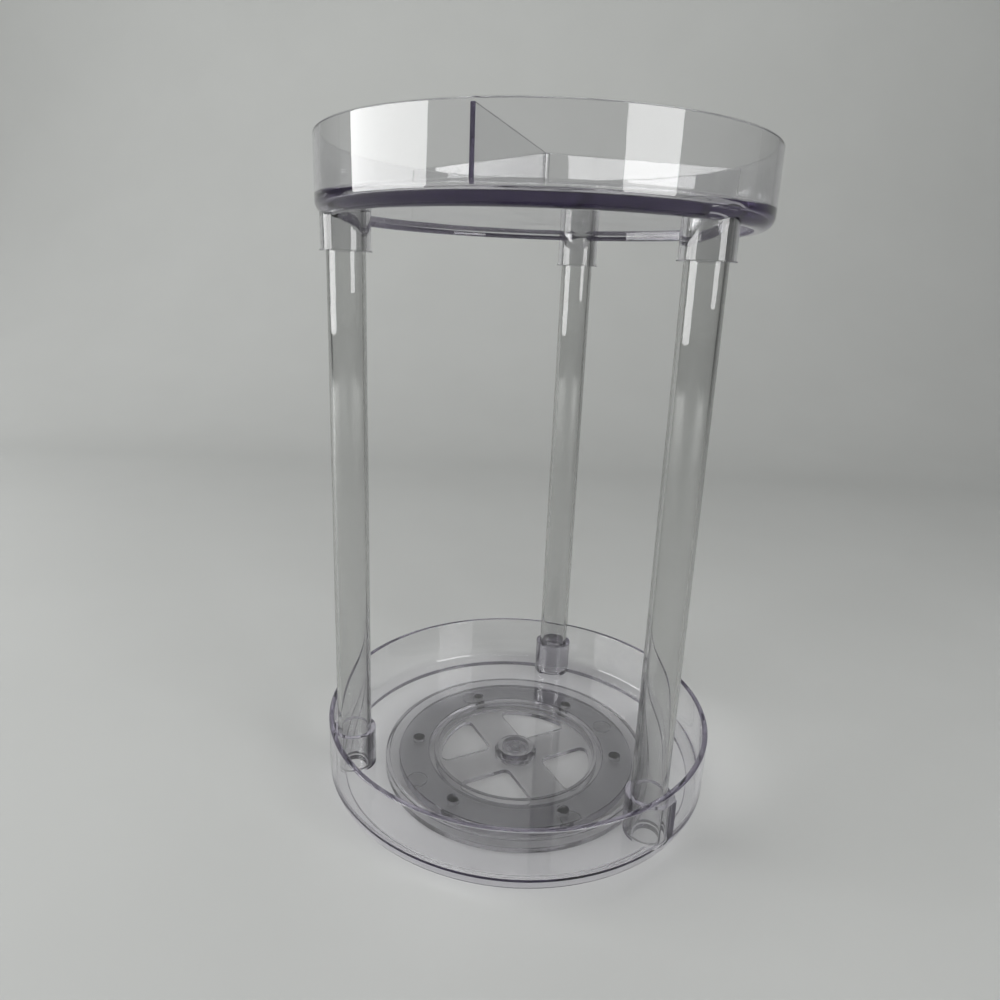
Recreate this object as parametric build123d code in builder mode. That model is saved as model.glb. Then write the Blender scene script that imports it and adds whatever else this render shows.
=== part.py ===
"""Two-tier turning organizer in clear moulded plastic.

A round lower tray turns on six steel balls over a low base. Three clear tubes stand
in collars of the lower tray and carry an upper tray that a three-way divider splits.
Millimetres, +Z up, the table at Z = 0 and the turning axis at X = Y = 0. The front is -Y.
"""
import os
from math import cos, hypot, radians, sin

from build123d import *

# Trays: both tiers share one shape
tray_radius = 114.0
tray_wall = 3.0
tray_height = 37.0
tray_floor = 3.0
outer_round = 7.0
inner_round = 4.0
rim_round = 0.9
foot_height = 3.0
foot_width = 2.2
foot_round = 0.6
tier_rise = 313.0
gate_radius = 2.0
gate_depth = 0.3

# Column tubes and the collars that hold them
column_count = 3
first_column_angle = 194.2
column_inset = 11.6
tube_radius = 9.7
tube_wall = 2.0
tube_end_bevel = 0.3
tube_fit = 0.05
collar_wall = 2.6
collar_web_width = 12.0
lower_collar_height = 23.0
upper_collar_height = 19.0
collar_lip_reach = 0.6
collar_lip_height = 0.6
seat_hole_radius = 7.0

# Divider of the upper tray
divider_thickness = 2.0
divider_drop = 1.3
divider_fit = 0.1
divider_core_radius = 2.4

# Bearing balls and their cage. The balls' circle sets the cage, and the cage the base's walls
ball_radius = 3.175
ball_count = 6
ball_circle_radius = 62.0
first_ball_angle = -4.8
ball_play = 0.02
cage_inner_margin = 7.6
cage_outer_margin = 10.8
cage_thickness = 5.0
cage_lift = 0.3
cage_edge_bevel = 0.4
pocket_clearance = 0.5

# Base
base_plate = 2.5
base_outer_wall = 2.6
base_outer_clearance = 5.6
base_inner_wall = 2.4
base_inner_clearance = 3.2
base_running_gap = 0.6
base_wall_round = 0.6
base_edge_round = 0.8
spoke_width = 22.6
spoke_angle = 28.0
spoke_count = 4
window_margin = 2.4
window_corner = 4.0
hub_radius = 13.0
hub_bevel = 2.0

# Pivot: a spigot under the lower tray runs in the hub and a plug keeps it there
spigot_radius = 8.35
spigot_clearance = 0.1
spigot_gap = 0.4
hub_floor = 1.6
plug_head_radius = 6.3
plug_head_height = 1.3
plug_head_gap = 0.2
plug_recess_clearance = 0.5
plug_neck_radius = 4.0
plug_neck_clearance = 0.1
plug_shank_radius = 3.0
plug_shank_length = 5.0
plug_shank_fit = 0.02
plug_end_gap = 0.3
plug_end_bevel = 0.5

# Feet
pad_count = 4
pad_radius = 6.0
pad_thickness = 2.0
pad_recess = 0.5
pad_inset = 15.0
pad_fit = 0.1
pad_edge_round = 0.5

# How near an edge has to lie to the place where it is looked for
edge_tolerance = 0.01

# Heights above the table
base_bottom = pad_thickness - pad_recess
base_plate_top = base_bottom + base_plate
ball_height = base_plate_top + ball_play + ball_radius
lower_underside = ball_height + ball_radius + ball_play
lower_floor = lower_underside + tray_floor
lower_collar_top = lower_floor + lower_collar_height
lower_foot = lower_underside - foot_height
lower_rim = lower_foot + tray_height
upper_rim = lower_rim + tier_rise
upper_foot = upper_rim - tray_height
upper_underside = upper_foot + foot_height
upper_floor = upper_underside + tray_floor
upper_collar_end = upper_underside - upper_collar_height
base_wall_top = lower_underside - base_running_gap
cage_bottom = base_plate_top + cage_lift
cage_top = cage_bottom + cage_thickness
head_bottom = base_bottom + plug_head_gap
head_top = head_bottom + plug_head_height
hub_floor_bottom = head_top + plug_head_gap
hub_floor_top = hub_floor_bottom + hub_floor
spigot_bottom = hub_floor_top + spigot_gap
shank_top = spigot_bottom + plug_shank_length

# Radii that follow from the ones above. An inset is how far an axis lies from an edge
inside_radius = tray_radius - tray_wall
foot_radius = tray_radius - outer_round - foot_width
column_circle = inside_radius - column_inset
collar_bore_radius = tube_radius + tube_fit
collar_radius = collar_bore_radius + collar_wall
panel_reach = inside_radius - divider_fit
cage_inner_radius = ball_circle_radius - cage_inner_margin
cage_outer_radius = ball_circle_radius + cage_outer_margin
base_inner_radius = cage_inner_radius - base_inner_clearance - base_inner_wall
base_radius = cage_outer_radius + base_outer_clearance + base_outer_wall
window_radius = base_inner_radius - window_margin
pad_circle = base_radius - pad_inset

# Directions, in degrees anticlockwise from +X
column_angles = [first_column_angle + 360 / column_count * i for i in range(column_count)]
panel_angles = [angle + 180 / column_count for angle in column_angles]
ball_angles = [first_ball_angle + 360 / ball_count * i for i in range(ball_count)]
pad_angles = [spoke_angle + 360 / pad_count * i for i in range(pad_count)]
spoke_bar_angles = [spoke_angle + 360 / spoke_count * i for i in range(spoke_count // 2)]


def polar(radius, angle):
    """Point on a circle about the turning axis."""
    return (radius * cos(radians(angle)), radius * sin(radians(angle)))


column_points = [polar(column_circle, angle) for angle in column_angles]
ball_points = [polar(ball_circle_radius, angle) for angle in ball_angles]
pad_points = [polar(pad_circle, angle) for angle in pad_angles]


def discs(radius, bottom, top, points=((0, 0),), mode=Mode.ADD):
    """Upright cylinders in the part being built, one about each point."""
    with BuildSketch(Plane.XY.offset(bottom)) as outline:
        with Locations(*points):
            Circle(radius)
    extrude(outline.sketch, amount=top - bottom, mode=mode)


def ring(outer_radius, inner_radius, bottom, top):
    """Upright ring about the turning axis, in the part being built."""
    with BuildSketch(Plane.XY.offset(bottom)) as outline:
        Circle(outer_radius)
        Circle(inner_radius, mode=Mode.SUBTRACT)
    extrude(outline.sketch, amount=top - bottom)


def bars(length, width, start, angles, bottom, top):
    """Upright bars that run outwards from a circle, in the part being built."""
    with BuildSketch(Plane.XY.offset(bottom)) as outline:
        for angle in angles:
            with Locations(polar(start + length / 2, angle)):
                Rectangle(length, width, rotation=angle)
    extrude(outline.sketch, amount=top - bottom)


def circles_at(builder, height):
    """Circular edges of a part at one height."""
    circles = builder.edges().filter_by(GeomType.CIRCLE)
    return circles.filter_by_position(Axis.Z, height - edge_tolerance, height + edge_tolerance)


def reaches_wall(edge):
    """Whether an edge of the divider lies at the outer end of a panel."""
    return hypot(edge.center().X, edge.center().Y) > panel_reach - edge_tolerance


def tray_bowl(builder, foot):
    """Round tray with an upright wall, rounded corners, a floor raised on a foot ring and a gate mark."""
    rim = foot + tray_height
    underside = foot + foot_height
    floor = underside + tray_floor
    discs(tray_radius, foot, rim)
    discs(inside_radius, floor, rim, mode=Mode.SUBTRACT)
    fillet(circles_at(builder, foot), outer_round)
    fillet(circles_at(builder, floor), inner_round)
    fillet(circles_at(builder, rim), rim_round)
    discs(foot_radius, foot, underside, mode=Mode.SUBTRACT)
    fillet(circles_at(builder, foot).sort_by(SortBy.RADIUS)[0], foot_round)
    discs(gate_radius, floor - gate_depth, floor, mode=Mode.SUBTRACT)


def write(builder, label):
    """Label a finished piece and write it as its own file."""
    builder.part.label = label
    export_step(builder.part, f"parts/{label}.step")


os.makedirs("parts", exist_ok=True)

# Lower tray: tall collars tied to its wall, floor holes below the tubes and the pivot spigot
with BuildPart() as lower_tray:
    tray_bowl(lower_tray, lower_foot)
    web_length = inside_radius + tray_wall / 2 - column_circle
    discs(collar_radius, lower_floor, lower_collar_top, column_points)
    bars(web_length, collar_web_width, column_circle, column_angles, lower_floor, lower_collar_top)
    discs(collar_bore_radius, lower_floor, lower_collar_top, column_points, Mode.SUBTRACT)
    discs(seat_hole_radius, lower_underside, lower_floor, column_points, Mode.SUBTRACT)
    discs(spigot_radius, spigot_bottom, lower_underside)
    discs(plug_shank_radius + plug_shank_fit, spigot_bottom, shank_top + plug_end_gap, mode=Mode.SUBTRACT)
write(lower_tray, "lower_tray")

# Upper tray: the same bowl with short collars hanging below it
with BuildPart() as upper_tray:
    tray_bowl(upper_tray, upper_foot)
    lip_radius = collar_radius + collar_lip_reach
    discs(collar_radius, upper_collar_end, upper_underside, column_points)
    discs(lip_radius, upper_collar_end, upper_collar_end + collar_lip_height, column_points)
    discs(collar_bore_radius, upper_collar_end, upper_underside, column_points, Mode.SUBTRACT)
write(upper_tray, "upper_tray")

# Three-way divider standing on the upper tray's floor, from wall to wall
with BuildPart() as divider:
    divider_top = upper_rim - divider_drop
    bars(panel_reach, divider_thickness, 0, panel_angles, upper_floor, divider_top)
    discs(divider_core_radius, upper_floor, divider_top)
    floor_edges = divider.edges().group_by(Axis.Z)[0]
    fillet(floor_edges.filter_by(reaches_wall), inner_round + divider_fit)
write(divider, "divider")

# Column tubes, from the lower tray's floor to the upper tray's underside
column_names = ["column_tube_left", "column_tube_right", "column_tube_rear"]
for name, point in zip(column_names, column_points):
    with BuildPart() as column_tube:
        discs(tube_radius, lower_floor, upper_underside, [point])
        discs(tube_radius - tube_wall, lower_floor, upper_underside, [point], Mode.SUBTRACT)
        chamfer(column_tube.edges().filter_by(GeomType.CIRCLE), tube_end_bevel)
    write(column_tube, name)

# Base: spoked plate, two ring walls that the balls run between, and the hub
with BuildPart() as base:
    discs(base_radius, base_bottom, base_plate_top)
    fillet(circles_at(base, base_bottom), base_edge_round)
    with BuildSketch(Plane.XY.offset(base_bottom)) as windows:
        Circle(window_radius)
        for angle in spoke_bar_angles:
            Rectangle(2 * window_radius, spoke_width, rotation=angle, mode=Mode.SUBTRACT)
        fillet(windows.vertices(), window_corner)
    extrude(amount=base_plate, mode=Mode.SUBTRACT)
    ring(base_radius, base_radius - base_outer_wall, base_plate_top, base_wall_top)
    ring(base_inner_radius + base_inner_wall, base_inner_radius, base_plate_top, base_wall_top)
    fillet(circles_at(base, base_wall_top), base_wall_round)
    discs(hub_radius, base_bottom, base_wall_top)
    chamfer(circles_at(base, base_wall_top).sort_by(SortBy.RADIUS)[0], hub_bevel)
    discs(spigot_radius + spigot_clearance, hub_floor_top, base_wall_top, mode=Mode.SUBTRACT)
    discs(plug_neck_radius + plug_neck_clearance, hub_floor_bottom, hub_floor_top, mode=Mode.SUBTRACT)
    discs(plug_head_radius + plug_recess_clearance, base_bottom, hub_floor_bottom, mode=Mode.SUBTRACT)
    discs(pad_radius + pad_fit, base_bottom, base_bottom + pad_recess, pad_points, Mode.SUBTRACT)
write(base, "base")

# Pivot plug pressed up into the spigot, its head under the hub's floor
with BuildPart() as pivot_plug:
    discs(plug_head_radius, head_bottom, head_top)
    discs(plug_neck_radius, head_top, spigot_bottom)
    discs(plug_shank_radius, spigot_bottom, shank_top)
    chamfer(circles_at(pivot_plug, shank_top), plug_end_bevel)
write(pivot_plug, "pivot_plug")

# Cage that spaces the balls
with BuildPart() as ball_cage:
    ring(cage_outer_radius, cage_inner_radius, cage_bottom, cage_top)
    chamfer(circles_at(ball_cage, cage_top), cage_edge_bevel)
    discs(ball_radius + pocket_clearance, cage_bottom, cage_top, ball_points, Mode.SUBTRACT)
write(ball_cage, "ball_cage")

# Steel balls
for number, (x, y) in enumerate(ball_points, start=1):
    with BuildPart() as ball:
        with Locations((x, y, ball_height)):
            Sphere(ball_radius)
    write(ball, f"steel_ball_{number}")

# Clear soft pads let into the base's underside
for number, point in enumerate(pad_points, start=1):
    with BuildPart() as foot_pad:
        discs(pad_radius, 0, pad_thickness, [point])
        fillet(circles_at(foot_pad, 0), pad_edge_round)
    write(foot_pad, f"foot_pad_{number}")
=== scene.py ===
from math import asin, atan2, cos, degrees, radians, sin, sqrt, tau

import bmesh
import bpy
from mathutils import Matrix, Vector


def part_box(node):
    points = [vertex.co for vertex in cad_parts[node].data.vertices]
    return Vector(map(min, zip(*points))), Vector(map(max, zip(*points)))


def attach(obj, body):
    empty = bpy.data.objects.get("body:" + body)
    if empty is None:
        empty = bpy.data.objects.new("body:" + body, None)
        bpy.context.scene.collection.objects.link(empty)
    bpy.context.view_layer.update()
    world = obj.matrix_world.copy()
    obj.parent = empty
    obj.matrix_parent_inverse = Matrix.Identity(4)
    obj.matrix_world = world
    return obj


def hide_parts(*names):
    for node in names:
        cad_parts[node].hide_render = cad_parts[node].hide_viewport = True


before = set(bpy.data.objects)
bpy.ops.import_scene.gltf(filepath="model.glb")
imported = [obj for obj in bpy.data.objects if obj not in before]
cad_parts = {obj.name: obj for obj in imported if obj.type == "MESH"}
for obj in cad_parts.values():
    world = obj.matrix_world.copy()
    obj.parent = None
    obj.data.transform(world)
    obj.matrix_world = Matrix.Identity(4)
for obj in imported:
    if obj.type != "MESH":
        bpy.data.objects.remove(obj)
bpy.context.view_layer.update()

# Trays
tray_wall = 0.0030
tray_height = 0.0370
tray_floor = 0.0030
outer_round = 0.0070
inner_round = 0.0040
rim_round = 0.0009
foot_height = 0.0030
foot_width = 0.0022
foot_round = 0.0006
gate_radius = 0.0020
gate_depth = 0.0003
gate_taper = 0.9

# Column tubes and their collars
tube_wall = 0.0020
tube_end_bevel = 0.0003
tube_fit = 0.00005
collar_wall = 0.0026
collar_web_width = 0.0120
lower_collar_height = 0.0230
upper_collar_height = 0.0190
collar_lip_reach = 0.0006
collar_lip_height = 0.0006
collar_edge_round = 0.0003
collar_lip_round = 0.00018
web_round_middle = 0.3
seat_hole_radius = 0.0070

# Divider
divider_thickness = 0.0020
divider_fit = 0.0001
divider_core_radius = 0.0024
divider_edge_round = 0.0005

# Bearing
cage_inner_radius = 0.0544
cage_edge_bevel = 0.0004
pocket_clearance = 0.0005

# Base
base_plate = 0.0025
base_outer_wall = 0.0026
base_inner_radius = 0.0488
base_inner_wall = 0.0024
base_wall_round = 0.0006
base_edge_round = 0.0008
spoke_width = 0.0226
spoke_angle = 28.0
window_radius = 0.0464
window_corner = 0.0040
window_count = 4
hub_radius = 0.0130
hub_bevel = 0.0020

# Pivot
spigot_radius = 0.00835
spigot_clearance = 0.0001
hub_floor = 0.0016
plug_head_radius = 0.0063
plug_head_height = 0.0013
plug_head_gap = 0.0002
plug_recess_clearance = 0.0005
plug_neck_radius = 0.0040
plug_neck_clearance = 0.0001
plug_shank_radius = 0.0030
plug_shank_fit = 0.00002
plug_end_gap = 0.0003
plug_end_bevel = 0.0005

# Feet
pad_recess = 0.0005
pad_fit = 0.0001
pad_edge_round = 0.0005

# How finely rounds are divided, and how far faces that touch stand apart
tray_sides = 288
tube_sides = 160
collar_sides = 96
small_sides = 64
ball_rings = 32
round_steps = 7
outer_round_steps = 16
inner_round_steps = 12
small_round_steps = 4
base_round_steps = 5
window_arc_steps = 24
divider_foot_turns = range(0, 91, 10)
divider_edge_turns = range(0, 91, 18)
sharp_angle = 32.0
seam = 0.00003
overlap = 0.0010
weld_distance = 0.000001

# Places read from the frame
lower_low, lower_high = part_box("lower_tray")
upper_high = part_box("upper_tray")[1]
base_low, base_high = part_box("base")
cage_low, cage_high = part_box("ball_cage")
divider_low, divider_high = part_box("divider")
plug_low, plug_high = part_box("pivot_plug")
tray_radius = upper_high.x
inside_radius = tray_radius - tray_wall
lower_rim = lower_high.z
upper_rim = upper_high.z
lower_foot = lower_rim - tray_height
upper_foot = upper_rim - tray_height
lower_underside = lower_foot + foot_height
upper_underside = upper_foot + foot_height
lower_floor = lower_underside + tray_floor
base_bottom = base_low.z
base_top = base_high.z
base_plate_top = base_bottom + base_plate
base_radius = base_high.x
spigot_bottom = lower_low.z


def middle(node):
    """Centre of a node's box."""
    low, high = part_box(node)
    return (low + high) / 2


column_nodes = ["column_tube_left", "column_tube_right", "column_tube_rear"]
ball_nodes = [f"steel_ball_{number}" for number in range(1, 7)]
pad_nodes = [f"foot_pad_{number}" for number in range(1, 5)]
column_points = [middle(node) for node in column_nodes]
tube_low, tube_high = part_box(column_nodes[0])
tube_radius = (tube_high.x - tube_low.x) / 2
collar_bore_radius = tube_radius + tube_fit
collar_radius = collar_bore_radius + collar_wall
column_angles = [degrees(atan2(point.y, point.x)) for point in column_points]
panel_angles = [angle + 180 / len(column_angles) for angle in column_angles]


def polar(radius, angle, height=0.0):
    """Point at a radius and an angle about the turning axis."""
    return Vector((radius * cos(radians(angle)), radius * sin(radians(angle)), height))


# Meshes
def new_piece(name, points, faces):
    """Mesh object from points and faces."""
    mesh = bpy.data.meshes.new(name)
    mesh.from_pydata([tuple(point) for point in points], [], faces)
    mesh.update()
    piece = bpy.data.objects.new(name, mesh)
    bpy.context.scene.collection.objects.link(piece)
    return piece


def arc(centre, radius, start, end, steps=round_steps):
    """Points of an arc about a centre in a plane, from one angle to another."""
    turns = [radians(start + (end - start) * step / steps) for step in range(steps + 1)]
    return [(centre[0] + radius * cos(turn), centre[1] + radius * sin(turn)) for turn in turns]


def revolve(name, profile, sides, centre=(0.0, 0.0)):
    """Closed profile of (radius, height) pairs turned about an upright axis.

    The profile runs outwards along the bottom, up the outside, inwards and down the inside.
    """
    points, rings = [], []
    for radius, height in profile:
        count = sides if radius > 0 else 1
        rings.append([len(points) + side for side in range(count)])
        for side in range(count):
            turn = tau * side / sides
            points.append((centre[0] + radius * cos(turn), centre[1] + radius * sin(turn), height))
    faces = []
    for below, above in zip(rings, rings[1:] + rings[:1]):
        if len(below) + len(above) > 2:
            for side in range(sides):
                after = side + 1
                corners = [below[side % len(below)], below[after % len(below)]]
                corners += [above[after % len(above)], above[side % len(above)]]
                faces.append(list(dict.fromkeys(corners)))
    return new_piece(name, points, faces)


def stack(name, outlines):
    """Solid through outlines of equal point counts, from the lowest to the highest, with flat ends."""
    count = len(outlines[0])
    points = [point for outline in outlines for point in outline]
    faces = [list(range(count))[::-1]]
    for level in range(len(outlines) - 1):
        start = level * count
        for side in range(count):
            after = (side + 1) % count
            faces.append([start + side, start + after, start + count + after, start + count + side])
    faces.append([len(points) - count + side for side in range(count)])
    return new_piece(name, points, faces)


def cylinder(radius, bottom, top, centre=(0.0, 0.0), sides=collar_sides):
    """Plain upright cylinder that other shapes are joined with or cut by."""
    return revolve("tool", [(0, bottom), (radius, bottom), (radius, top), (0, top)], sides, centre)


def weld(mesh):
    """Joins points that lie closer together than a micron, with the slivers between them."""
    shape = bmesh.new()
    shape.from_mesh(mesh)
    bmesh.ops.remove_doubles(shape, verts=shape.verts, dist=weld_distance)
    bmesh.ops.dissolve_degenerate(shape, edges=shape.edges, dist=weld_distance)
    shape.to_mesh(mesh)
    shape.free()


def join(piece, tools, operation):
    """Joins a piece with tool shapes or cuts it by them, and deletes the tools."""
    for tool in tools:
        step = piece.modifiers.new("join", "BOOLEAN")
        step.operation = operation
        step.solver = "EXACT"
        step.object = tool
    joined = bpy.data.meshes.new_from_object(piece.evaluated_get(bpy.context.evaluated_depsgraph_get()))
    piece.modifiers.clear()
    piece.data = joined
    for tool in tools:
        bpy.data.objects.remove(tool)
    return piece


def smooth(piece):
    """Smooth shading that stays crisp at edges and level on flat faces."""
    weld(piece.data)
    piece.data.shade_smooth()
    piece.data.set_sharp_from_angle(angle=radians(sharp_angle))
    level = piece.modifiers.new("level_normals", "WEIGHTED_NORMAL")
    level.keep_sharp = True
    return piece


def tray_profile(foot):
    """Section of a tray: floor raised on a foot ring, rounded corners, upright wall, rim and gate mark."""
    underside = foot + foot_height
    floor = underside + tray_floor
    rim = foot + tray_height
    foot_outer = tray_radius - outer_round
    foot_inner = foot_outer - foot_width
    profile = [(0, underside), (foot_inner, underside)]
    profile += arc((foot_inner + foot_round, foot + foot_round), foot_round, 180, 270, small_round_steps)
    profile += arc((foot_outer, foot + outer_round), outer_round, -90, 0, outer_round_steps)
    profile += arc((tray_radius - rim_round, rim - rim_round), rim_round, 0, 90)
    profile += arc((inside_radius + rim_round, rim - rim_round), rim_round, 90, 180)
    corner = (inside_radius - inner_round, floor + inner_round)
    profile += arc(corner, inner_round, 0, -90, inner_round_steps)
    gate_floor = floor - gate_depth
    profile += [(gate_radius, floor), (gate_radius * gate_taper, gate_floor), (0, gate_floor)]
    return profile


def collar_web(angle, low, high):
    """Flat web that ties a collar to the tray's wall."""
    start = column_points[0].to_2d().length
    end = inside_radius + tray_wall / 2
    half = collar_web_width / 2
    edge = collar_edge_round
    drawn_in = edge * web_round_middle
    outlines = []
    for height, inset in ((low, 0), (high - edge, 0), (high - drawn_in, drawn_in), (high, edge)):
        side = half - inset
        corners = [(start, -side), (end, -side), (end, side), (start, side)]
        outlines.append([polar(x, angle) + polar(y, angle + 90, height) for x, y in corners])
    return stack("tool", outlines)


def lower_collar_profile():
    """Section of a collar of the lower tray, from inside the floor up to its rounded top edge."""
    top = lower_floor + lower_collar_height
    edge = collar_edge_round
    profile = [(0, lower_floor - overlap), (collar_radius, lower_floor - overlap)]
    profile += arc((collar_radius - edge, top - edge), edge, 0, 90, small_round_steps)
    profile += [(0, top)]
    return profile


def upper_collar_profile():
    """Section of a collar below the upper tray, with a thin lip round its lower end."""
    end = upper_underside - upper_collar_height
    lip_radius = collar_radius + collar_lip_reach
    lip_top = end + collar_lip_height
    root = upper_underside + overlap
    edge = collar_lip_round
    profile = [(0, end)]
    profile += arc((lip_radius - edge, end + edge), edge, -90, 0, small_round_steps)
    profile += arc((lip_radius - edge, lip_top - edge), edge, 0, 90, small_round_steps)
    profile += [(collar_radius, lip_top), (collar_radius, root), (0, root)]
    return profile


def lower_tray():
    """Lower tray with its three tall collars, seat holes and the spigot that it turns on."""
    tray = revolve("lower_tray_moulding", tray_profile(lower_foot), tray_sides)
    collar_top = lower_floor + lower_collar_height
    added = [revolve("tool", lower_collar_profile(), collar_sides, point) for point in column_points]
    added += [collar_web(angle, lower_floor - overlap, collar_top) for angle in column_angles]
    added.append(cylinder(spigot_radius, spigot_bottom, lower_underside + overlap, sides=small_sides))
    join(tray, added, "UNION")
    bores = [cylinder(collar_bore_radius, lower_floor - seam, collar_top + overlap, point)
             for point in column_points]
    seats = [cylinder(seat_hole_radius, lower_underside - seam, lower_floor + overlap, point, small_sides)
             for point in column_points]
    socket_radius = plug_shank_radius + plug_shank_fit
    socket_top = plug_high.z + plug_end_gap
    socket = cylinder(socket_radius, spigot_bottom - overlap, socket_top, sides=small_sides)
    return join(tray, bores + seats + [socket], "DIFFERENCE")


def upper_tray():
    """Upper tray with three short collars below it."""
    tray = revolve("upper_tray_moulding", tray_profile(upper_foot), tray_sides)
    collars = [revolve("tool", upper_collar_profile(), collar_sides, point) for point in column_points]
    join(tray, collars, "UNION")
    bore_low = upper_underside - upper_collar_height - overlap
    bore_top = upper_underside + seam
    bores = [cylinder(collar_bore_radius, bore_low, bore_top, point) for point in column_points]
    return join(tray, bores, "DIFFERENCE")


def divider_outline(half, reach, core, height):
    """Outline of three panels that meet in a round core."""
    outline = []
    root = sqrt(core ** 2 - half ** 2)
    lean = degrees(asin(half / core))
    for angle, following in zip(panel_angles, panel_angles[1:] + [panel_angles[0] + 360]):
        for along, across in ((root, -half), (reach, -half), (reach, half)):
            outline.append(polar(along, angle) + polar(across, angle + 90, height))
        for step in range(round_steps):
            turn = angle + lean + (following - angle - 2 * lean) * step / round_steps
            outline.append(polar(core, turn, height))
    return outline


def divider():
    """Three upright panels whose outer feet follow the round of the tray's floor."""
    low = divider_low.z + seam
    high = divider_high.z
    half = divider_thickness / 2
    reach = inside_radius - divider_fit
    foot = inner_round + divider_fit
    edge = divider_edge_round
    levels = [(low + foot * (1 - cos(radians(turn))), foot * (1 - sin(radians(turn))), 0.0)
              for turn in divider_foot_turns]
    levels += [(high - edge * (1 - sin(radians(turn))), 0.0, edge * (1 - cos(radians(turn))))
               for turn in divider_edge_turns]
    outlines = []
    for height, drawn_in, inset in levels:
        core = divider_core_radius - inset
        outlines.append(divider_outline(half - inset, reach - drawn_in - inset, core, height))
    return stack("divider_panels", outlines)


def column(name, point):
    """Clear tube with bevelled ends."""
    low = lower_floor + seam
    high = upper_underside - seam
    inner = tube_radius - tube_wall
    bevel = tube_end_bevel
    profile = [(inner + bevel, low), (tube_radius - bevel, low), (tube_radius, low + bevel)]
    profile += [(tube_radius, high - bevel), (tube_radius - bevel, high), (inner + bevel, high)]
    profile += [(inner, high - bevel), (inner, low + bevel)]
    return revolve(name, profile, tube_sides, point)


def wall_section(inner, outer):
    """Top of an upright wall between two radii, from its outer foot to its inner foot."""
    edge = base_wall_round
    section = [(outer, base_plate_top)] if outer < base_radius else []
    section += arc((outer - edge, base_top - edge), edge, 0, 90, base_round_steps)
    section += arc((inner + edge, base_top - edge), edge, 90, 180, base_round_steps)
    return section + [(inner, base_plate_top)]


def base_profile():
    """Section of the base: plate, outer and inner wall, bevelled hub and the stepped bore for the pivot."""
    recess_radius = plug_head_radius + plug_recess_clearance
    recess_top = plug_low.z + plug_head_height + plug_head_gap
    neck_radius = plug_neck_radius + plug_neck_clearance
    bore_radius = spigot_radius + spigot_clearance
    bore_floor = recess_top + hub_floor
    profile = [(neck_radius, recess_top), (recess_radius, recess_top), (recess_radius, base_bottom)]
    edge = base_edge_round
    profile += arc((base_radius - edge, base_bottom + edge), edge, -90, 0, base_round_steps)
    profile += wall_section(base_radius - base_outer_wall, base_radius)
    profile += wall_section(base_inner_radius, base_inner_radius + base_inner_wall)
    profile += [(hub_radius, base_plate_top), (hub_radius, base_top - hub_bevel)]
    profile += [(hub_radius - hub_bevel, base_top)]
    profile += [(bore_radius, base_top), (bore_radius, bore_floor), (neck_radius, bore_floor)]
    return profile


def window_outline(turn, height):
    """Outline of one rounded window between two spokes."""
    half = spoke_width / 2
    near = half + window_corner
    far = sqrt((window_radius - window_corner) ** 2 - near ** 2)
    lean = degrees(atan2(near, far))
    flat = arc((near, near), window_corner, 180, 270)
    flat += arc((far, near), window_corner, 270, 360 + lean)
    flat += arc((0, 0), window_radius, lean, 90 - lean, window_arc_steps)[1:-1]
    flat += arc((near, far), window_corner, 90 - lean, 180)
    return [polar(x, turn) + polar(y, turn + 90, height) for x, y in flat]


def base():
    """Low spoked base with two ring walls and a hub."""
    piece = revolve("base_moulding", base_profile(), tray_sides)
    heights = (base_bottom - overlap, base_plate_top + overlap)
    recess_top = base_bottom + pad_recess
    tools = []
    for number in range(window_count):
        turn = spoke_angle + 360 / window_count * number
        tools.append(stack("tool", [window_outline(turn, height) for height in heights]))
    for node in pad_nodes:
        low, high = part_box(node)
        recess = (high.x - low.x) / 2 + pad_fit
        tools.append(cylinder(recess, base_bottom - overlap, recess_top, middle(node), small_sides))
    return join(piece, tools, "DIFFERENCE")


def cage():
    """Flat ring with a round pocket for each ball."""
    outer = cage_high.x
    inner = cage_inner_radius
    edge = cage_edge_bevel
    low, high = cage_low.z, cage_high.z
    profile = [(inner, low), (outer, low), (outer, high - edge), (outer - edge, high)]
    profile += [(inner + edge, high), (inner, high - edge)]
    ring = revolve("bearing_cage", profile, tray_sides)
    ball_low, ball_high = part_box(ball_nodes[0])
    pocket = (ball_high.z - ball_low.z) / 2 + pocket_clearance
    pockets = [cylinder(pocket, low - overlap, high + overlap, middle(node), small_sides)
               for node in ball_nodes]
    return join(ring, pockets, "DIFFERENCE")


def ball(name, node):
    """Polished ball, turned from a half circle."""
    low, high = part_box(node)
    centre = middle(node)
    radius = (high.z - low.z) / 2
    half_circle = [(max(x, 0) if 0 < index < ball_rings else 0, y)
                   for index, (x, y) in enumerate(arc((0, centre.z), radius, -90, 90, ball_rings))]
    return revolve(name, half_circle, small_sides, centre)


def pivot():
    """Plug with a wide head, a neck in the hub's hole and a bevelled shank."""
    head_top = plug_low.z + plug_head_height
    neck_top = spigot_bottom - seam
    profile = [(0, plug_low.z), (plug_head_radius, plug_low.z), (plug_head_radius, head_top)]
    profile += [(plug_neck_radius, head_top), (plug_neck_radius, neck_top), (plug_shank_radius, neck_top)]
    profile += [(plug_shank_radius, plug_high.z - plug_end_bevel)]
    profile += [(plug_shank_radius - plug_end_bevel, plug_high.z), (0, plug_high.z)]
    return revolve("pivot_pin", profile, small_sides)


def pad(name, node):
    """Soft foot with a rounded lower edge."""
    low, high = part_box(node)
    radius = (high.x - low.x) / 2
    edge = pad_edge_round
    profile = [(0, low.z)] + arc((radius - edge, low.z + edge), edge, -90, 0)
    profile += [(radius, high.z - seam), (0, high.z - seam)]
    return revolve(name, profile, small_sides, middle(node))


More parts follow.
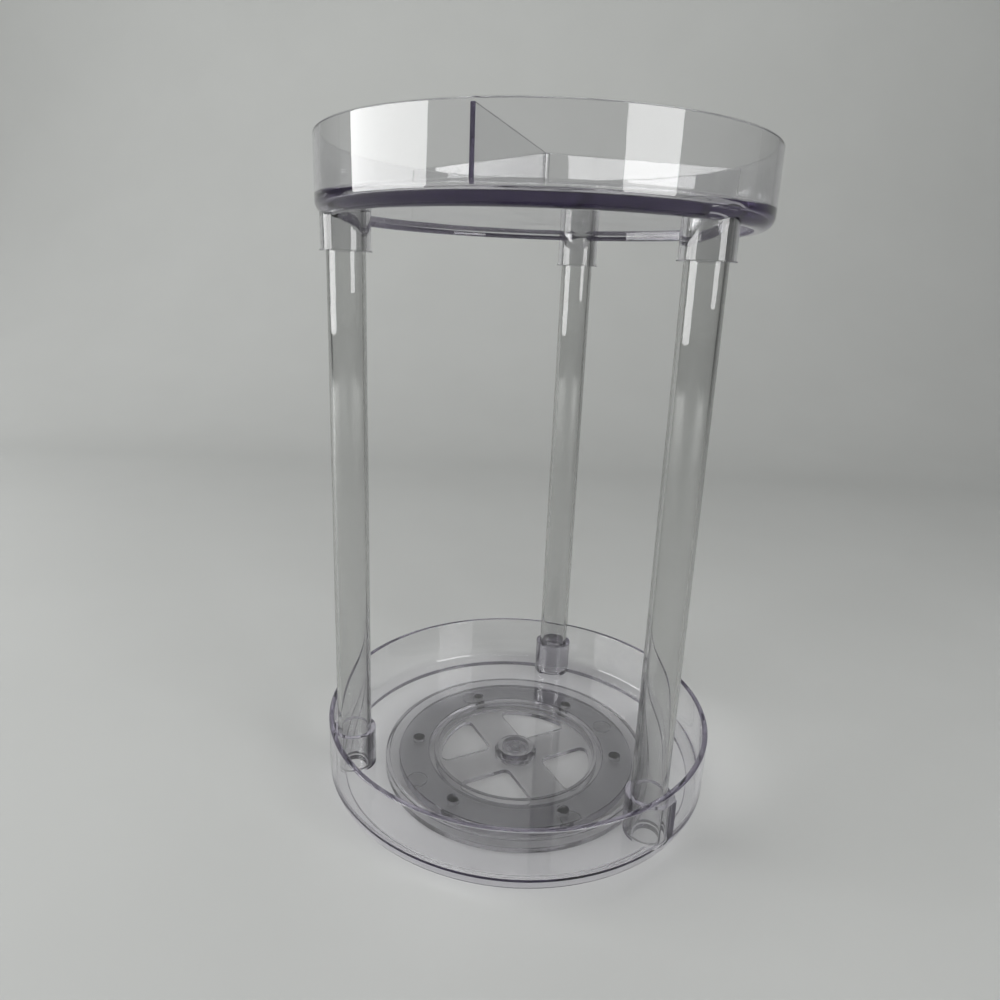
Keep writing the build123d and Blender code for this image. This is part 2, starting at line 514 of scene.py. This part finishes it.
# Materials
face_gloss = 0.95
gloss_falloff = 5.0
plastic_index = 1.53
flow_share = 0.9
grain_share = 0.1
smear_share = 0.35
speck_share = 0.3
smeared_tint = 0.93
# Steel tones far darker than bare steel: painted shade, so the balls read dark beneath the trays
dark_steel_tones_painted_shade = ((0.13, 0.13, 0.135, 1.0), (0.08, 0.08, 0.085, 1.0))
steel_polish = 0.05
steel_wear = 0.12
floor_tones = ((0.58, 0.59, 0.575, 1.0), (0.54, 0.55, 0.535, 1.0))


class Signal:
    """A shader socket. Arithmetic adds Math nodes, and node() adds a node of any other kind."""

    def __init__(self, tree, socket=None):
        self.tree = tree
        self.socket = socket

    def node(self, kind, settings, inputs, output=0):
        """Adds a node: its settings first, then the values or links of its sockets."""
        made = self.tree.nodes.new(kind)
        for name, value in settings.items():
            setattr(made, name, value)
        for name, value in inputs.items():
            if isinstance(value, Signal):
                self.tree.links.new(value.socket, made.inputs[name])
            else:
                made.inputs[name].default_value = value
        return Signal(self.tree, made.outputs[output] if made.outputs else None)

    def math(self, operation, first, second):
        return self.node("ShaderNodeMath", {"operation": operation}, {0: first, 1: second})

    def __add__(self, other):
        return self.math("ADD", self, other)

    def __radd__(self, other):
        return self.math("ADD", other, self)

    def __sub__(self, other):
        return self.math("SUBTRACT", self, other)

    def __rsub__(self, other):
        return self.math("SUBTRACT", other, self)

    def __mul__(self, other):
        return self.math("MULTIPLY", self, other)

    def __rmul__(self, other):
        return self.math("MULTIPLY", other, self)

    def __pow__(self, other):
        return self.math("POWER", self, other)


def new_shader(name):
    """Empty material and the signal that nodes are added through."""
    material = bpy.data.materials.new(name)
    material.use_nodes = True
    material.node_tree.nodes.clear()
    return material, Signal(material.node_tree)


def place(shader, scale=(1.0, 1.0, 1.0)):
    """Position on the piece, stretched along its axes."""
    spot = shader.node("ShaderNodeTexCoord", {}, {}, "Object")
    return shader.node("ShaderNodeMapping", {}, {"Vector": spot, "Scale": scale})


def noise(shader, spot, scale, detail=3.0, roughness=0.5):
    """Soft random value from 0 to 1."""
    inputs = {"Vector": spot, "Scale": scale, "Detail": detail, "Roughness": roughness}
    return shader.node("ShaderNodeTexNoise", {}, inputs, "Fac")


def spread(shader, value, low, high):
    """Stretches the values between low and high over 0 to 1."""
    settings = {"interpolation_type": "SMOOTHSTEP"}
    return shader.node("ShaderNodeMapRange", settings, {"Value": value, "From Min": low, "From Max": high})


def blend(shader, share, first, second):
    """Colour between two colours."""
    inputs = {"Factor": share, 6: first, 7: second}
    return shader.node("ShaderNodeMix", {"data_type": "RGBA"}, inputs, 2)


def lamp_share(shader):
    """How much of a lamp's light a clear face lets through: little of what only grazes it."""
    lamp_ray = shader.node("ShaderNodeLightPath", {}, {}, "Is Shadow Ray")
    grazing = shader.node("ShaderNodeLayerWeight", {}, {"Blend": 0.5}, "Facing")
    return lamp_ray * (face_gloss - face_gloss * grazing ** gloss_falloff)


def clear_plastic(name, tint, lamp_film, shade, density, polish, haze, ripple, stretch=(1.0, 1.0, 1.0)):
    """Clear plastic. Tint of each face, what it leaves of lamps, inner shade, roughness and ripple."""
    material, shader = new_shader(name)
    spot = place(shader, stretch)
    smear = noise(shader, spot, scale=38.0, detail=5.0, roughness=0.62)
    smear = spread(shader, smear, low=0.45, high=0.75)
    specks = spread(shader, noise(shader, spot, scale=900.0, detail=2.0), low=0.70, high=0.80)
    flow = noise(shader, spot, scale=26.0, detail=2.0)
    grain = noise(shader, spot, scale=240.0, detail=3.0)
    swell = flow * flow_share + grain * grain_share
    bump = shader.node("ShaderNodeBump", {}, {"Height": swell, "Strength": ripple, "Distance": 0.001})
    smeared = [smeared_tint * part for part in tint[:3]] + [1.0]
    colour = blend(shader, smear * smear_share + specks * speck_share, tint, smeared)
    plastic = shader.node("ShaderNodeBsdfPrincipled", {}, {
        "Base Color": colour, "Roughness": polish + smear * haze + specks * haze, "Normal": bump,
        "IOR": plastic_index, "Transmission Weight": 1.0})
    film = shader.node("ShaderNodeBsdfTransparent", {}, {"Color": lamp_film})
    surface = shader.node("ShaderNodeMixShader", {}, {0: lamp_share(shader), 1: plastic, 2: film})
    inside = shader.node("ShaderNodeVolumeAbsorption", {}, {"Color": shade, "Density": density})
    shader.node("ShaderNodeOutputMaterial", {}, {"Surface": surface, "Volume": inside})
    return material


def ball_steel():
    """Polished bearing steel with fine wear, its colour darkened far below bare steel as painted shade."""
    material, shader = new_shader("polished_ball_steel")
    spot = place(shader)
    wear = spread(shader, noise(shader, spot, scale=700.0, detail=4.0), low=0.5, high=0.8)
    colour = blend(shader, wear, dark_steel_tones_painted_shade[0], dark_steel_tones_painted_shade[1])
    grain = noise(shader, spot, scale=1500.0)
    bump = shader.node("ShaderNodeBump", {}, {"Height": grain, "Strength": 0.02, "Distance": 0.0002})
    steel = shader.node("ShaderNodeBsdfPrincipled", {}, {
        "Base Color": colour, "Metallic": 1.0, "Roughness": steel_polish + wear * steel_wear,
        "Normal": bump})
    shader.node("ShaderNodeOutputMaterial", {}, {"Surface": steel})
    return material


def floor_cloth():
    """Plain pale surface with a faint mottle."""
    material, shader = new_shader("pale_floor")
    spot = place(shader)
    mottle = noise(shader, spot, scale=6.0, detail=4.0)
    colour = blend(shader, mottle, floor_tones[0], floor_tones[1])
    matte = shader.node("ShaderNodeBsdfPrincipled", {}, {
        "Base Color": colour, "Roughness": 0.9, "Specular IOR Level": 0.1})
    shader.node("ShaderNodeOutputMaterial", {}, {"Surface": matte})
    return material


tray_plastic = clear_plastic(
    "clear_tray_plastic", tint=(0.98, 0.982, 0.98, 1.0), lamp_film=(0.87, 0.87, 0.87, 1.0),
    shade=(0.32, 0.24, 0.46, 1.0), density=18.0, polish=0.012, haze=0.05, ripple=0.05)
tube_plastic = clear_plastic(
    "clear_tube_plastic", tint=(0.98, 0.982, 0.98, 1.0), lamp_film=(0.94, 0.94, 0.94, 1.0),
    shade=(0.40, 0.40, 0.39, 1.0), density=115.0, polish=0.012, haze=0.04, ripple=0.05,
    stretch=(1.0, 1.0, 0.02))
base_plastic = clear_plastic(
    "clear_base_plastic", tint=(0.95, 0.948, 0.955, 1.0), lamp_film=(0.66, 0.66, 0.66, 1.0),
    shade=(0.36, 0.32, 0.42, 1.0), density=20.0, polish=0.02, haze=0.06, ripple=0.06)
# The cage's faces are tinted darker than the other clear plastics: painted shade, so the ring reads as dark
# as the shaded ground below the base
shade_darkened_cage_plastic = clear_plastic(
    "clear_cage_plastic", tint=(0.865, 0.862, 0.88, 1.0), lamp_film=(0.66, 0.66, 0.66, 1.0),
    shade=(0.34, 0.30, 0.42, 1.0), density=14.0, polish=0.02, haze=0.06, ripple=0.06)
pad_rubber = clear_plastic(
    "soft_pad_rubber", tint=(0.96, 0.96, 0.96, 1.0), lamp_film=(0.93, 0.93, 0.93, 1.0),
    shade=(0.7, 0.7, 0.71, 1.0), density=6.0, polish=0.03, haze=0.05, ripple=0.05)
steel = ball_steel()


# Pieces
def dress(piece, node, body, material):
    """Gives a piece its material and its place in the object."""
    smooth(piece)
    piece.data.materials.clear()
    piece.data.materials.append(material)
    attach(piece, body)
    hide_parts(node)


dress(lower_tray(), "lower_tray", "tower", tray_plastic)
dress(upper_tray(), "upper_tray", "tower", tray_plastic)
dress(divider(), "divider", "tower", tray_plastic)
for node, point in zip(column_nodes, column_points):
    dress(column(node.replace("column_tube", "column"), point), node, "tower", tube_plastic)
dress(base(), "base", "base", base_plastic)
dress(cage(), "ball_cage", "cage", shade_darkened_cage_plastic)
dress(pivot(), "pivot_plug", "tower", base_plastic)
for number, node in enumerate(ball_nodes, start=1):
    dress(ball(f"bearing_ball_{number}", node), node, "cage", steel)
for number, node in enumerate(pad_nodes, start=1):
    dress(pad(f"soft_foot_{number}", node), node, "base", pad_rubber)


# Stage
stage_half_width = 4.0
stage_front = -4.0
stage_cove_start = 0.75
stage_cove_radius = 0.9
stage_cove_steps = 32
stage_height = 3.2
stage_drop = 0.00005
room_tones = ((0.15, 0.153, 0.15, 1.0), (0.02, 0.02, 0.024, 1.0))
overhead_start = 0.25
overhead_end = 0.75


def stage_sweep():
    """Floor that curves up into a backdrop behind the object."""
    line = [(stage_front, -stage_drop)]
    cove = (stage_cove_start, stage_cove_radius - stage_drop)
    line += arc(cove, stage_cove_radius, -90, 0, stage_cove_steps)
    line += [(stage_cove_start + stage_cove_radius, stage_height)]
    points = [(side * stage_half_width, y, z) for y, z in line for side in (-1, 1)]
    faces = [[2 * row, 2 * row + 1, 2 * row + 3, 2 * row + 2] for row in range(len(line) - 1)]
    sweep = new_piece("stage_sweep", points, faces)
    sweep.data.shade_smooth()
    sweep.data.materials.append(floor_cloth())


def soft_lamp(name, spot, target, width, height, power):
    """Rectangular soft light that faces a point and shows only as reflections on outer faces."""
    lamp = bpy.data.lights.new(name, "AREA")
    lamp.shape = "RECTANGLE"
    lamp.size = width
    lamp.size_y = height
    lamp.energy = power
    holder = bpy.data.objects.new(name, lamp)
    bpy.context.scene.collection.objects.link(holder)
    aim = (Vector(target) - Vector(spot)).to_track_quat("-Z", "Y")
    holder.matrix_world = Matrix.Translation(spot) @ aim.to_matrix().to_4x4()
    holder.visible_camera = False
    holder.visible_transmission = False


def room():
    """Even light from all round, pale near the horizon and darker overhead."""
    world = bpy.data.worlds.new("studio_room")
    bpy.context.scene.world = world
    world.use_nodes = True
    world.node_tree.nodes.clear()
    shader = Signal(world.node_tree)
    direction = shader.node("ShaderNodeTexCoord", {}, {}, "Generated")
    rise = shader.node("ShaderNodeSeparateXYZ", {}, {"Vector": direction}, "Z")
    overhead = spread(shader, rise, overhead_start, overhead_end)
    colour = blend(shader, overhead, room_tones[0], room_tones[1])
    light = shader.node("ShaderNodeBackground", {}, {"Color": colour, "Strength": 1.0})
    shader.node("ShaderNodeOutputWorld", {}, {"Surface": light})


stage_sweep()
room()
soft_lamp("left_window", (-1.65, -0.38, 0.62), (0, 0, 0.2), width=1.42, height=1.0, power=35)
soft_lamp("right_window", (1.18, -1.17, 0.72), (0, 0, 0.2), width=0.78, height=1.0, power=18)
soft_lamp("overhead_softbox", (0.15, -1.35, 2.1), (0, 0, 0), width=0.9, height=0.9, power=9)
soft_lamp("backdrop_wash", (0.5, 0.75, 2.5), (0.35, 1.65, 0.4), width=1.0, height=0.5, power=4)

# Camera, at the photograph's place and angle
camera_spot = Vector((-0.0125, -0.4032, 0.2935))
camera_pitch = -15.7856
camera_yaw = -0.5228
camera_roll = 2.242
focal_pixels = 734.95
picture_pixels = 1000
optical_row = 488.46
sensor_width = 36.0
nearest_sight = 0.01


def camera():
    """Camera with the photograph's place, tilt and framing."""
    lens = bpy.data.cameras.new("studio_camera")
    lens.sensor_width = sensor_width
    lens.lens = focal_pixels / picture_pixels * sensor_width
    lens.shift_y = optical_row / picture_pixels - 0.5
    lens.clip_start = nearest_sight
    holder = bpy.data.objects.new("studio_camera", lens)
    bpy.context.scene.collection.objects.link(holder)
    pitch, yaw, roll = radians(camera_pitch), radians(camera_yaw), radians(camera_roll)
    forward = Vector((sin(yaw) * cos(pitch), cos(yaw) * cos(pitch), sin(pitch)))
    level = Vector((cos(yaw), -sin(yaw), 0))
    upward = level.cross(forward)
    right = level * cos(roll) + upward * sin(roll)
    top = upward * cos(roll) - level * sin(roll)
    turn = Matrix((right, top, -forward)).transposed().to_4x4()
    holder.matrix_world = Matrix.Translation(camera_spot) @ turn
    bpy.context.scene.camera = holder


camera()

# Light reaches through all the nested clear walls
clear_wall_bounces = 64
clear_film_bounces = 40
matte_bounces = 3
bounces = bpy.context.scene.cycles
bounces.max_bounces = clear_wall_bounces
bounces.transmission_bounces = clear_wall_bounces
bounces.glossy_bounces = clear_wall_bounces
bounces.transparent_max_bounces = clear_film_bounces
bounces.diffuse_bounces = matte_bounces
bpy.context.scene.view_settings.view_transform = "Standard"
